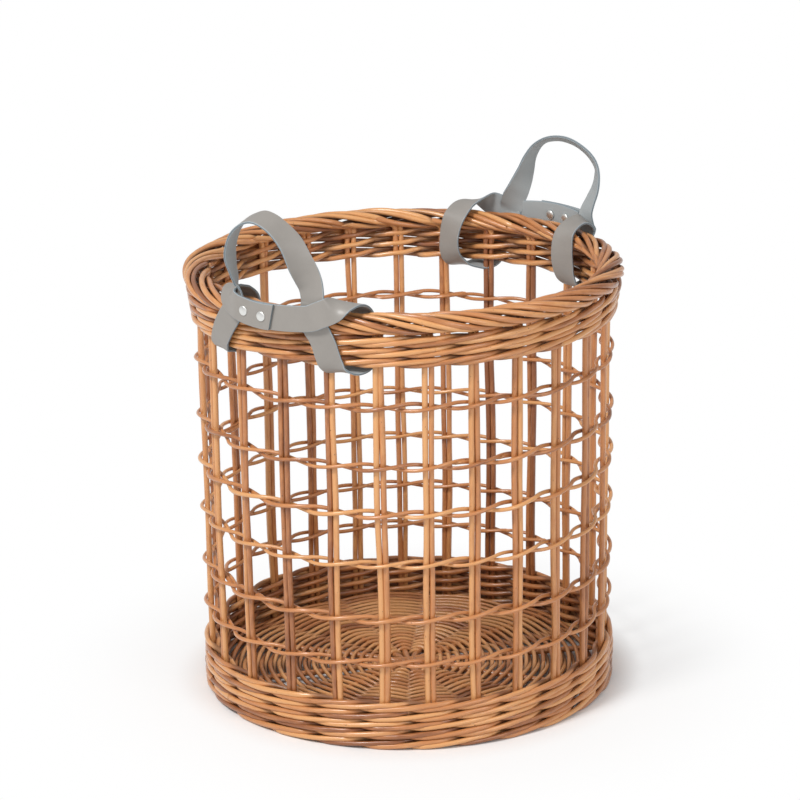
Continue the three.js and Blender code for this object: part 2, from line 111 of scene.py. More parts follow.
class Rods(PropertyGroup):
    """Sizes of the willow rods."""

    stake: length_setting("Stake rod", "Diameter of an upright rod", 0.0055)
    weaver: length_setting("Weaver", "Diameter of a pairing weaver", 0.004)
    waling: length_setting("Waling rod", "Diameter of a rod in the bands", 0.005)
    border: length_setting("Border rod", "Diameter of a rod in the rim", 0.0056)
    base: length_setting("Base rod", "Diameter of a rod in the base", 0.0041)
    wander: length_setting("Wander", "How far a rod strays from its line", 0.0006)
    seed: IntProperty(name="Seed", description="Changes the chance in the rods", default=7)


class Willow(PropertyGroup):
    """Colours of the willow."""

    light: colour_setting("Light", "Lightest rods", (0.69, 0.34, 0.13))
    middle: colour_setting("Middle", "Most rods", (0.53, 0.215, 0.075))
    dark: colour_setting("Dark", "Darkest rods", (0.27, 0.092, 0.03))
    speck: colour_setting("Specks", "Bruises and buds", (0.1, 0.035, 0.014))
    # The shadow colour is painted shade, laid where rods lie deep between other rods.
    shadow: colour_setting("Shadow", "Painted shade between rods", (0.11, 0.035, 0.012))
    heart: colour_setting("Cut wood", "Cut ends of rods", (0.72, 0.46, 0.23))


class Leather(PropertyGroup):
    """Sizes and colours of the leather."""

    width: length_setting("Width", "Width of the strap", 0.025)
    thickness: length_setting("Thickness", "Thickness of the strap", 0.0023)
    face: colour_setting("Face", "Smooth side", (0.28, 0.26, 0.238))
    flesh: colour_setting("Flesh", "Rough side", (0.36, 0.385, 0.39))
    edge: colour_setting("Edge", "Painted edge", (0.2, 0.235, 0.255))


class Studio(PropertyGroup):
    """The floor and the lamps."""

    floor_size: length_setting("Floor", "Side of the floor", 8.0)
    floor: colour_setting("Floor colour", "Pale floor", (0.86, 0.855, 0.85))
    key: FloatProperty(name="Key lamp", description="Power in watts", default=68.0)
    fill: FloatProperty(name="Fill lamp", description="Power in watts", default=20.0)
    sky: FloatProperty(name="Surround", description="Strength of the soft surround", default=0.52)


class Value:
    """An output of a material's nodes. Sums with it add Math nodes."""

    def __init__(self, finish, socket):
        self.finish = finish
        self.socket = socket

    def math(self, operation, *others):
        return self.finish.node("ShaderNodeMath", {"operation": operation}, self, *others)

    def __add__(self, other):
        return self.math("ADD", other)

    __radd__ = __add__

    def __sub__(self, other):
        return self.math("SUBTRACT", other)

    def __rsub__(self, other):
        return self.finish.node("ShaderNodeMath", {"operation": "SUBTRACT"}, other, self)

    def __mul__(self, other):
        return self.math("MULTIPLY", other)

    __rmul__ = __mul__

    def smooth(self, low, high):
        """0 below low and 1 above high, with a soft step between."""
        settings = {"interpolation_type": "SMOOTHSTEP"}
        return self.finish.node("ShaderNodeMapRange", settings, self, low, high, 0.0, 1.0)

    def scaled(self, *factors):
        return self.finish.node("ShaderNodeVectorMath", {"operation": "MULTIPLY"}, self, factors)


class Finish:
    """A material that is made of nodes."""

    def __init__(self, name):
        self.material = bpy.data.materials.new(name)
        self.material.use_nodes = True
        self.tree = self.material.node_tree
        self.surface = self.tree.nodes["Principled BSDF"]

    def fill(self, socket, value):
        if isinstance(value, Value):
            self.tree.links.new(value.socket, socket)
        elif socket.type == "RGBA" and len(value) == 3:
            socket.default_value = (*value, 1.0)
        else:
            socket.default_value = value

    def node(self, kind, settings, *values, output=0, **named):
        """Adds a node of a kind, with its settings first and then its sockets."""
        made = self.tree.nodes.new(kind)
        for key, value in settings.items():
            setattr(made, key, value)
        for index, value in enumerate(values):
            self.fill(made.inputs[index], value)
        for key, value in named.items():
            self.fill(made.inputs[key.replace("_", " ")], value)
        return Value(self, made.outputs[output])

    def attribute(self, name, output):
        return self.node("ShaderNodeAttribute", {"attribute_name": name}, output=output)

    def noise(self, where, scale, detail=3.0, roughness=0.5):
        return self.node(
            "ShaderNodeTexNoise", {}, Vector=where, Scale=scale, Detail=detail, Roughness=roughness
        )

    def mix(self, share, first, second):
        """Mixes two colours."""
        made = self.tree.nodes.new("ShaderNodeMix")
        made.data_type = "RGBA"
        for index, value in ((0, share), (6, first), (7, second)):
            self.fill(made.inputs[index], value)
        return Value(self, made.outputs[2])

    def bump(self, height, distance, strength):
        return self.node("ShaderNodeBump", {}, Height=height, Distance=distance, Strength=strength)

    def dress(self, **sockets):
        """Fills the sockets of the surface and returns the material."""
        for key, value in sockets.items():
            self.fill(self.surface.inputs[key.replace("_", " ")], value)
        return self.material


def shaded(colour, factor):
    return tuple(factor * part for part in colour)


def willow_finish(name, colours, paler):
    """Peeled and boiled willow: lengthwise grain, darker stretches, specks and pale cut ends, and
    painted shade where rods lie deep between others.
    """
    finish = Finish(name)
    tone = finish.attribute("tone", "Fac")
    cut = finish.attribute("cut", "Fac")
    deep = finish.attribute("shade", "Fac")
    grain = finish.attribute("grain", "Vector")
    stretch = finish.noise(grain, 42.0, 2.0)
    fibre = finish.noise(grain.scaled(1.0, 1.0, 0.3), 1500.0, 4.0, 0.65)
    blotch = finish.noise(grain.scaled(1.0, 1.0, 2.5), 190.0, 3.0, 0.6)
    bruise = finish.noise(grain.scaled(1.0, 1.0, 9.0), 330.0, 2.0, 0.5)
    level = tone * 0.78 + stretch * 0.55 + (blotch - 0.5) * 0.6 + (fibre - 0.5) * 0.45 + paler - 0.1
    low = finish.mix(level.smooth(0.12, 0.5), colours.dark, colours.middle)
    wood = finish.mix(level.smooth(0.5, 0.9), low, colours.light)
    specks = bruise.smooth(0.69, 0.8) * 0.75
    skin = finish.mix(specks, wood, colours.speck)
    ends = finish.mix(fibre.smooth(0.35, 0.7), colours.middle, colours.heart)
    lit = finish.mix(cut, skin, ends)
    # Painted shade: the shade number turns the wood towards the shadow colour between rods.
    colour = finish.mix(deep, lit, colours.shadow)
    sheen = 0.3 + (fibre - 0.5) * 0.3 + specks * 0.3 + cut * 0.35 + deep * 0.3
    height = fibre * 0.6 + blotch * 0.9 - specks * 0.6
    return finish.dress(
        Base_Color=colour,
        Roughness=sheen,
        Specular_IOR_Level=0.6,
        Coat_Weight=0.25,
        Coat_Roughness=0.22,
        Normal=finish.bump(height, 0.0004, 0.7),
    )


def leather_finish(name, colours):
    """Dyed leather: a fine pebbled face, a fibrous rough side and a painted edge."""
    finish = Finish(name)
    lay = finish.attribute("lay", "Vector")
    rough_side = finish.attribute("flesh", "Fac")
    edge = finish.attribute("edge", "Fac")
    layer = finish.attribute("layer", "Fac")
    pebbles = finish.node(
        "ShaderNodeTexVoronoi", {"feature": "SMOOTH_F1"}, Vector=lay, Scale=1500.0, Smoothness=0.6
    )
    fine = finish.noise(lay, 3200.0, 3.0, 0.6)
    cloud = finish.noise(lay, 55.0, 3.0, 0.55)
    crease = finish.noise(lay.scaled(1.0, 3.0, 1.0), 210.0, 4.0, 0.6)
    fibre = finish.noise(lay.scaled(1.0, 0.4, 1.0), 2600.0, 4.0, 0.7)
    shade = (cloud - 0.5) * 0.55 + (crease - 0.5) * 0.25 + (fine - 0.5) * 0.18 + 0.5
    face = finish.mix(shade, shaded(colours.face, 0.86), shaded(colours.face, 1.13))
    hairs = fibre.smooth(0.3, 0.7)
    flesh = finish.mix(hairs, shaded(colours.flesh, 0.86), shaded(colours.flesh, 1.12))
    outer = layer.smooth(0.35, 0.9)
    rim = finish.mix(outer, shaded(colours.edge, 0.62), shaded(colours.edge, 1.5))
    sides = finish.mix(rough_side, face, flesh)
    colour = finish.mix(edge, sides, rim)
    height = pebbles * 0.5 + crease * 0.35 + fine * 0.15
    relief = height * (1.0 - rough_side) + fibre * rough_side
    return finish.dress(
        Base_Color=colour,
        Roughness=0.4 + (fine - 0.5) * 0.12 + rough_side * 0.34 + edge * 0.2,
        Normal=finish.bump(relief, 0.00018, 0.45),
    )


def nickel_finish(name):
    """Plated rivets with fine scratches and dull spots."""
    finish = Finish(name)
    where = finish.node("ShaderNodeTexCoord", {}, output="Object")
    scratch = finish.noise(where.scaled(1.0, 1.0, 9.0), 2400.0, 3.0, 0.6)
    dull = finish.noise(where, 600.0, 3.0, 0.6)
    colour = finish.mix(dull, (0.8, 0.8, 0.77), (0.92, 0.92, 0.9))
    return finish.dress(
        Base_Color=colour,
        Metallic=1.0,
        Roughness=0.26 + dull * 0.16 + scratch * 0.1,
        Normal=finish.bump(scratch, 0.00005, 0.4),
    )


def stake_angle(place):
    """Angle round the basket of a stake pair, or of a place between two."""
    even = 2.0 * np.pi * np.asarray(place, float) / STAKE_PAIRS
    spacing = SET_BACK + ONCE_ROUND * np.cos(even) + TWICE_ROUND * np.cos(2.0 * even)
    return even + np.radians(spacing)


def turn_to(angle, out, aside=0.0):
    """Where a place lies that is so far outwards, and so far aside, at an angle."""
    c, s = math.cos(angle), math.sin(angle)
    return out * c - aside * s, out * s + aside * c


def handle_angle(place, slip):
    return float(stake_angle(place)) + math.radians(slip)


def lap_height(along, foot, lifted, rise):
    """Height of a strap's middle where it lies along the outside."""
    return STRAP_HEIGHT + lifted + (rise - lifted) * (along / foot) ** 2


def round_line(place, radius, height):
    """Points on the wall, in millimetres, from stake places, radii and heights."""
    angle = stake_angle(place)
    place, radius, height = np.broadcast_arrays(place, radius, height)
    return np.stack([radius * np.cos(angle), radius * np.sin(angle), height], axis=1)


def smooth_line(stations, steps):
    """A smooth line through stations, with a number of steps to each span."""
    knots = np.asarray(stations, float)
    first = 2.0 * knots[0] - knots[1]
    last = 2.0 * knots[-1] - knots[-2]
    held = np.vstack([first, knots, last])
    gaps = np.sqrt(np.linalg.norm(np.diff(held[:, :3], axis=0), axis=1))
    slopes = np.diff(held, axis=0) / gaps[:, None]
    wide = (held[2:] - held[:-2]) / (gaps[1:] + gaps[:-1])[:, None]
    tangents = slopes[1:] - wide + slopes[:-1]
    share = np.linspace(0.0, 1.0, steps, endpoint=False)[:, None]
    points = []
    for i in range(len(knots) - 1):
        span = gaps[i + 1]
        points.append(
            (2 * share**3 - 3 * share**2 + 1) * knots[i]
            + (share**3 - 2 * share**2 + share) * span * tangents[i]
            + (3 * share**2 - 2 * share**3) * knots[i + 1]
            + (share**3 - share**2) * span * tangents[i + 1]
        )
    return np.vstack([*points, knots[-1:]])


def drift(chance, count, wave, size):
    """A slow wander of a number of points, with a wavelength in points."""
    where = np.arange(count)
    total = np.zeros(count)
    for part in (1.0, 1.7, 2.9):
        turn = chance.uniform(0.0, 2.0 * np.pi)
        total += np.sin(2.0 * np.pi * where * part / wave + turn) / part
    return size * total / 1.6


def cycle(place, stops, values):
    """A wave that passes through values at stops, and starts again at the last stop."""
    length = stops[-1]
    where = np.mod(place, length)
    index = np.clip(np.searchsorted(stops, where, side="right") - 1, 0, len(stops) - 2)
    stops = np.asarray(stops, float)
    values = np.asarray(values, float)
    share = (where - stops[index]) / (stops[index + 1] - stops[index])
    soft = share * share * (3.0 - 2.0 * share)
    return values[index] + (values[index + 1] - values[index]) * soft


def tube_faces(start, rings, sides):
    """Faces between rings of corners that follow each other from a first corner."""
    ring = np.arange(sides)
    after = np.roll(ring, -1)
    here = start + sides * np.arange(rings - 1)[:, None]
    there = here + sides
    quads = [here + ring, here + after, there + after, there + ring]
    return np.stack(quads, axis=2).reshape(-1, 4)


def make_mesh(name, corners, faces):
    """A mesh with smooth faces from corners in metres."""
    mesh = bpy.data.meshes.new(name)
    mesh.from_pydata(corners.tolist(), [], faces)
    mesh.polygons.foreach_set("use_smooth", np.ones(len(mesh.polygons), bool))
    return mesh


def lengths_along(points):
    """Length from the first point to each point of a line."""
    return np.cumsum(np.linalg.norm(np.diff(points, axis=0, prepend=points[:1]), axis=1))


class Bundle:
    """Rods that make up one piece. It notes the grain, tone and cut ends of each."""

    out_of_round = 0.04
    swell = 0.035
    swell_wave = 23.0
    grain_stretch = 0.12
    end_grain = 6.0

    def __init__(self, chance):
        self.chance = chance
        self.corners = []
        self.faces = []
        self.grain = []
        self.tone = []
        self.cut = []
        self.count = 0
        self.shade = None

    def keep(self, corners, grain, tone, cut):
        self.corners.append(corners)
        self.grain.append(grain)
        self.tone.append(np.full(len(corners), tone))
        self.cut.append(np.full(len(corners), cut))
        self.count += len(corners)

    def rod(self, line, diameter, tone=None, sides=9, slant=0.9, thin=0.0):
        """Sweeps a rod along a line in millimetres, with slanted cut ends."""
        line = np.asarray(line, float)
        tone = self.chance.uniform(0.0, 1.0) if tone is None else tone
        ahead = np.gradient(line, axis=0)
        ahead /= np.linalg.norm(ahead, axis=1)[:, None]
        across = np.empty_like(line)
        side = np.cross(ahead[0], np.eye(3)[np.argmin(np.abs(ahead[0]))])
        for i, forward in enumerate(ahead):
            side = side - forward * side.dot(forward)
            side = side / np.linalg.norm(side)
            across[i] = side
        other = np.cross(ahead, across)
        along = lengths_along(line)
        radius = diameter / 2.0 * (1.0 + drift(self.chance, len(line), self.swell_wave, self.swell))
        radius *= 1.0 - thin * along / along[-1]
        turn = 2.0 * np.pi * np.arange(sides) / sides
        shape = 1.0 + self.chance.uniform(-self.out_of_round, self.out_of_round, sides)
        across_share = np.cos(turn) * shape
        other_share = np.sin(turn) * shape
        rings = (
            line[:, None]
            + radius[:, None, None] * across_share[None, :, None] * across[:, None]
            + radius[:, None, None] * other_share[None, :, None] * other[:, None]
        )
        for end in (0, -1):
            lean = slant * diameter / 2.0 * across_share[:, None]
            rings[end] += lean * ahead[end]
        offset = self.chance.uniform(-0.2, 0.2, 3)
        grain = np.empty((len(line), sides, 3))
        grain[..., 0] = radius[:, None] * across_share * MM
        grain[..., 1] = radius[:, None] * other_share * MM
        grain[..., 2] = along[:, None] * self.grain_stretch * MM
        grain += offset
        start = self.count
        self.keep(rings.reshape(-1, 3) * MM, grain.reshape(-1, 3), tone, 0.0)
        self.faces.extend(tube_faces(start, len(line), sides).tolist())
        ring = np.arange(sides)
        for end, order in ((0, ring[::-1]), (-1, ring)):
            cap = self.count
            self.keep(rings[end] * MM, grain[end] * self.end_grain, tone, 1.0)
            self.faces.append((cap + order).tolist())

    def piece(self, scene, slot, node, ending="rods"):
        """Makes the mesh of the piece that stands for a node."""
        corners = np.vstack(self.corners)
        mesh = make_mesh(f"{node}_{ending}", corners, self.faces)
        note(mesh, "grain", np.vstack(self.grain))
        note(mesh, "tone", np.concatenate(self.tone))
        note(mesh, "cut", np.concatenate(self.cut))
        # The shade number marks where the material paints shade between the rods.
        if self.shade:
            note(mesh, "shade", self.shade(corners / MM))
        name, paler = WILLOWS[slot]
        material = finish_named(name, willow_finish, scene.basket_willow, paler)
        settle(mesh, material, "basket", node)


def note(mesh, name, values):
    """Keeps a number or a vector at each corner of a mesh, for its material to read."""
    values = np.asarray(values, np.float32)
    kind, field = ("FLOAT", "value") if values.ndim == 1 else ("FLOAT_VECTOR", "vector")
    mesh.attributes.new(name, kind, "POINT").data.foreach_set(field, values.ravel())


def put(name, data):
    """Puts a mesh, a lamp or a camera in the scene."""
    thing = bpy.data.objects.new(name, data)
    bpy.context.scene.collection.objects.link(thing)
    return thing


def settle(mesh, material, body, node):
    """Puts a mesh in the scene as the piece that stands for a node."""
    mesh.update()
    mesh.materials.append(material)
    thing = put(mesh.name, mesh)
    if body:
        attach(thing, body)
    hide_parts(node)
    return thing


def finish_named(name, maker, *values):
    """Finds a material, or makes it the first time."""
    return bpy.data.materials.get(name) or maker(name, *values)


def begin(scene, number):
    """What a piece starts from: rod sizes, wander in millimetres, its chance and its bundle."""
    rods = scene.basket_rods
    chance = np.random.default_rng(rods.seed * 100 + number)
    return rods, rods.wander / MM, chance, Bundle(chance)


def stake_radius(height):
    return STAKE_RADIUS_FOOT + (STAKE_RADIUS_RIM - STAKE_RADIUS_FOOT) * height / BORDER_TOP


class AddStakes(Operator):
    """Stand the pairs of upright rods"""

    bl_idname = "basket.stakes"
    bl_label = "Stakes"

    rings = 44
    sway_wave = 60.0
    spread_wave = 34.0
    radius_wave = 40.0
    size_range = (0.95, 1.06)

    def execute(self, context):
        for pair in range(STAKE_PAIRS):
            rods, wander, chance, bundle = begin(context.scene, 10 + pair)
            height = np.linspace(STAKE_BOTTOM, RIM_BAND_TOP, self.rings)
            sway = drift(chance, self.rings, self.sway_wave, 1.5 * wander)
            for side in (-1.0, 1.0):
                spread = STAKE_HALF_SPREAD + drift(chance, self.rings, self.spread_wave, wander)
                slip = side * spread + sway
                radius = stake_radius(height) + drift(chance, self.rings, self.radius_wave, wander)
                line = round_line(pair, radius, height)
                angle = float(stake_angle(pair))
                line[:, 0] -= slip * math.sin(angle)
                line[:, 1] += slip * math.cos(angle)
                size = rods.stake / MM * chance.uniform(*self.size_range)
                bundle.rod(line, size, sides=12)
            node = f"stake_pair_{pair + 1:02d}"
            bundle.piece(context.scene, "willow", node)
        return {"FINISHED"}


class AddPairing(Operator):
    """Twine the rows of thin weavers round the stakes"""

    bl_idname = "basket.pairing"
    bl_label = "Pairing rows"

    steps = 14
    swing = 5.6
    flatness = 0.8
    lift = 2.4
    lap = 0.42
    tuck = 3.6
    level_wave = 5.3
    size_range = (0.96, 1.08)

    def execute(self, context):
        for row, share in enumerate(PAIRING_SHARES):
            height = FOOT_BAND_TOP + (RIM_BAND_BOTTOM - FOOT_BAND_TOP) * share
            for turn, letter in enumerate("ab"):
                rods, wander, chance, bundle = begin(context.scene, 60 + 2 * row + turn)
                start = 2 * ((5 * row) % 12) + 1 - turn
                first = start - self.lap
                last = start + STAKE_PAIRS + self.lap
                place = np.linspace(first, last, STAKE_PAIRS * self.steps)
                sign = 1.0 - 2.0 * turn
                wave = np.cos(np.pi * place)
                out = sign * self.swing * np.sign(wave) * np.abs(wave) ** self.flatness
                rise = sign * self.lift * np.sin(np.pi * place)
                sway = drift(chance, len(place), self.level_wave * self.steps, 1.3 * wander)
                level = height + rise + sway
                radius = stake_radius(level) + out
                ended = np.clip((place - place[-1] + 2.0 * self.lap) / self.lap, 0.0, 1.0)
                radius = radius - self.tuck * ended
                line = round_line(place, radius, level)
                size = rods.weaver / MM * chance.uniform(*self.size_range)
                bundle.rod(line, size, thin=0.12, slant=2.2)
                node = f"pairing_{row + 1}_weaver_{letter}"
                bundle.piece(context.scene, "willow_pale", node, "rod")
        return {"FINISHED"}


class AddWaling(Operator):
    """Weave the foot band and the rim band, three rods at a time"""

    bl_idname = "basket.waling"
    bl_label = "Waling bands"

    steps = 10
    weavers = 3
    # One stroke: places along it with the swing outwards, and with the share of the lift
    swing_places = (0.0, 0.9, 1.5, 2.1, 3.0)
    swings = (-5.6, 5.3, 6.3, 5.3, -5.6)
    lift_places = (0.0, 0.55, 2.45, 3.0)
    lifts = (0.0, -0.31, 0.31, 0.0)
    lap = 0.6
    level_wave = 4.1
    radius_wave = 3.3
    size_range = (0.97, 1.1)
    cut_spread = 30
    # Painted shade between the rods of a band: its strength, and how far from the band's middle it
    # stays full and then fades, in millimetres.
    shadow = 0.7
    shadow_depth = 2.2
    shadow_fade = 2.4

    def band(self, context, number, node, bottom, top, rounds, flare):
        rods, wander, chance, bundle = begin(context.scene, number)
        tall = (top - bottom) / rounds
        for layer in range(rounds):
            for weaver in range(self.weavers):
                start = weaver + self.weavers * ((7 * layer) % 8)
                first = start - self.lap
                last = start + STAKE_PAIRS + self.lap
                place = np.linspace(first, last, int((last - first) * self.steps))
                phase = place - weaver
                out = cycle(phase, self.swing_places, self.swings)
                rise = tall * cycle(phase, self.lift_places, self.lifts)
                level = bottom + tall * (layer + 0.5) + rise
                wave = self.level_wave * self.steps
                level = level + drift(chance, len(place), wave, 0.7 * wander)
                share = (level - bottom) / (top - bottom)
                radius = stake_radius(level) + out + flare * share
                wave = self.radius_wave * self.steps
                radius = radius + drift(chance, len(place), wave, 0.8 * wander)
                line = round_line(place, radius, level)
                size = rods.waling / MM * chance.uniform(*self.size_range)
                cuts = np.linspace(0, len(place) - 1, 4).astype(int)
                cuts[1:-1] += chance.integers(-self.cut_spread, self.cut_spread, 2)
                for near, far in zip(cuts[:-1], cuts[1:]):
                    bundle.rod(line[near : far + 1], size, slant=1.6)
        middle = stake_radius(bottom) + flare / 2.0
        bundle.shade = lambda at: self.between(at, middle)
        bundle.piece(context.scene, "willow", node)

    def between(self, at, middle):
        """How much painted shade a point gets, from how deep it lies between the rods of a band."""
        off = np.abs(np.hypot(at[:, 0], at[:, 1]) - middle)
        depth = 1.0 - (off - self.shadow_depth) / self.shadow_fade
        return self.shadow * np.clip(depth, 0.0, 1.0)

    def execute(self, context):
        self.band(context, 80, "foot_waling", FOOT_BAND_BOTTOM, FOOT_BAND_TOP, 5, flare=0.0)
        self.band(context, 81, "rim_waling", RIM_BAND_BOTTOM, RIM_BAND_TOP, 3, flare=4.5)
        return {"FINISHED"}


class AddBorder(Operator):
    """Roll the stake tops down into the rim"""

    bl_idname = "basket.border"
    bl_label = "Rim border"

    centre_radius = 203.3
    centre_height = 424.0
    half_width = 10.4
    half_height = 7.2
    reach = 4.3
    lies_down = 0.5
    first_turn = 172.0
    last_turn = -168.0
    pair_turn = 20.0
    turn_spread = 9.0
    reach_spread = (-0.25, 0.3)
    loose_spread = (-0.09, 0.12)
    loose_drift = (26.0, 0.06)
    radius_wave = 25.0
    size_range = (0.94, 1.08)
    steps = 40
    # How a stake's top starts to bend: place, radius and height from the top of the rim band
    bend = ((0.0, 0.0, -6.0), (0.0, -0.4, 0.0), (0.1, -3.5, 6.0))
    margin = 2.8
    # Painted shade inside the roll of the border: its strength, where it is gone and how far
    # inwards it grows full, as shares of the roll's half size with the margin added.
    shadow = 0.8
    shadow_edge = 0.9
    shadow_fade = 0.25

    def execute(self, context):
        rods, wander, chance, bundle = begin(context.scene, 90)
        for pair in range(STAKE_PAIRS):
            for side in (-1.0, 1.0):
                long = self.reach + chance.uniform(*self.reach_spread)
                place = np.linspace(self.lies_down, long, self.steps)
                share = (place - self.lies_down) / (self.reach - self.lies_down)
                turn = self.first_turn + (self.last_turn - self.first_turn) * share
                turn = turn - side * self.pair_turn
                turn = np.radians(turn + chance.uniform(-self.turn_spread, self.turn_spread))
                loose = 1.0 + chance.uniform(*self.loose_spread)
                loose = loose + drift(chance, self.steps, *self.loose_drift)
                radius = self.centre_radius + self.half_width * loose * np.cos(turn)
                height = self.centre_height + self.half_height * loose * np.sin(turn)
                offset = side * STAKE_HALF_SPREAD / (2.0 * np.pi * STAKE_RADIUS_RIM / STAKE_PAIRS)
                rows = [
                    (offset + ahead, STAKE_RADIUS_RIM + out, RIM_BAND_TOP + up)
                    for ahead, out, up in self.bend
                ]
                rows += [(place[k], radius[k], height[k]) for k in (0, 2)]
                bent = smooth_line(rows, 6)[:-6]
                place = np.concatenate([bent[:, 0], place])
                radius = np.concatenate([bent[:, 1], radius])
                height = np.concatenate([bent[:, 2], height])
                radius = radius + drift(chance, len(place), self.radius_wave, 0.6 * wander)
                line = round_line(pair + place, radius, height)
                size = rods.border / MM * chance.uniform(*self.size_range)
                bundle.rod(line, size, thin=0.12, sides=10, slant=2.0)
        bundle.shade = self.inside
        bundle.piece(context.scene, "willow", "rim_border")
        return {"FINISHED"}

    def inside(self, at):
        """How much painted shade a point gets, from how deep it lies inside the roll of the border.
        """
        across = np.hypot(at[:, 0], at[:, 1]) - self.centre_radius
        up = at[:, 2] - self.centre_height
        wide, tall = self.half_width + self.margin, self.half_height + self.margin
        out = np.hypot(across / wide, up / tall)
        return self.shadow * np.clip((self.shadow_edge - out) / self.shadow_fade, 0.0, 1.0)


class AddBase(Operator):
    """Weave the round base on its crossed sticks"""

    bl_idname = "basket.base"
    bl_label = "Base"

    spokes = 12
    middle = 8.0
    first_radius = 25.0
    last_radius = 193.6
    swing = 3.3
    flatness = 0.85
    packing = 1.07
    steps = 9
    radius_wave = 7.0
    size_range = (0.92, 1.08)
    # How many spokes a rod of the weave passes: fewest and most, and fewest of the last one
    rod_spokes = (14.0, 30.0)
    last_spokes = 6
    # Painted shade on the base's rods: its strength, and how far above their middle height it fades
    # out, in millimetres.
    shadow = 0.7
    shadow_fade = 2.4
    stick_width = 6.0
    stick_spacing = 7.0
    stick_range = (0.94, 1.04)
    # How far from the middle the sticks run side by side, and where the spokes pass beyond that
    cross = 12.0
    spoke_places = (32.0, 106.5, 189.0)

    def execute(self, context):
        self.weave(context.scene)
        self.sticks(context.scene)
        return {"FINISHED"}

    def weave(self, scene):
        """Two rods chase each other: where one goes over a spoke, the other goes under."""
        rods, wander, chance, bundle = begin(scene, 95)
        size = rods.base / MM
        row = size * self.packing
        turns = (self.last_radius - self.first_radius - row) / (2.0 * row)
        for weaver in range(2):
            place = np.arange(0.0, turns * self.spokes, 1.0 / self.steps)
            radius = self.first_radius + row * (weaver + 2.0 * place / self.spokes)
            out = (1.0 - 2.0 * weaver) * np.cos(np.pi * place)
            level = self.middle + self.swing * np.sign(out) * np.abs(out) ** self.flatness
            radius = radius + drift(chance, len(place), self.radius_wave * self.steps, 0.8 * wander)
            line = round_line(2.0 * place + 1.5, radius, level)
            near = 0
            while near < len(place) - 2 * self.steps:
                far = near + int(chance.uniform(*self.rod_spokes) * self.steps)
                if len(place) - far < self.last_spokes * self.steps:
                    far = len(place) - 1
                thick = size * chance.uniform(*self.size_range)
                bundle.rod(line[near : far + 1], thick, sides=8, slant=1.5)
                near = far
        bundle.shade = self.beneath
        bundle.piece(scene, "willow_pale", "base_weave")

    def beneath(self, at):
        """How much painted shade a point gets: full at the middle height of the base and below,
        fading out above it.
        """
        depth = 1.0 - (at[:, 2] - self.middle) / self.shadow_fade
        return self.shadow * np.clip(depth, 0.0, 1.0)

    def sticks(self, scene):
        """Six sticks, three through three. Each opens into two spokes."""
        *_, chance, bundle = begin(scene, 96)
        per_quarter = self.spokes // 4
        for way in range(2):
            heading = float(stake_angle(6 * way + 3.5))
            for lane in range(per_quarter):
                aside = (lane - (per_quarter - 1) / 2.0) * self.stick_spacing
                stations = []
                for end, spoke in ((1.0, lane), (-1.0, 3 * per_quarter - 1 - lane)):
                    place = 6 * way + 2 * spoke + 1.5
                    angle = float(stake_angle(place))
                    half = [turn_to(heading, end * self.cross, aside)]
                    half += [turn_to(angle, out) for out in self.spoke_places]
                    half = [(*spot, self.middle) for spot in half]
                    stations = half[::-1] + stations if end > 0 else stations + half
                line = smooth_line(stations, 7)
                size = self.stick_width * chance.uniform(*self.stick_range)
                bundle.rod(line, size, sides=10, tone=0.3)
        bundle.piece(scene, "willow", "base_slath", "sticks")


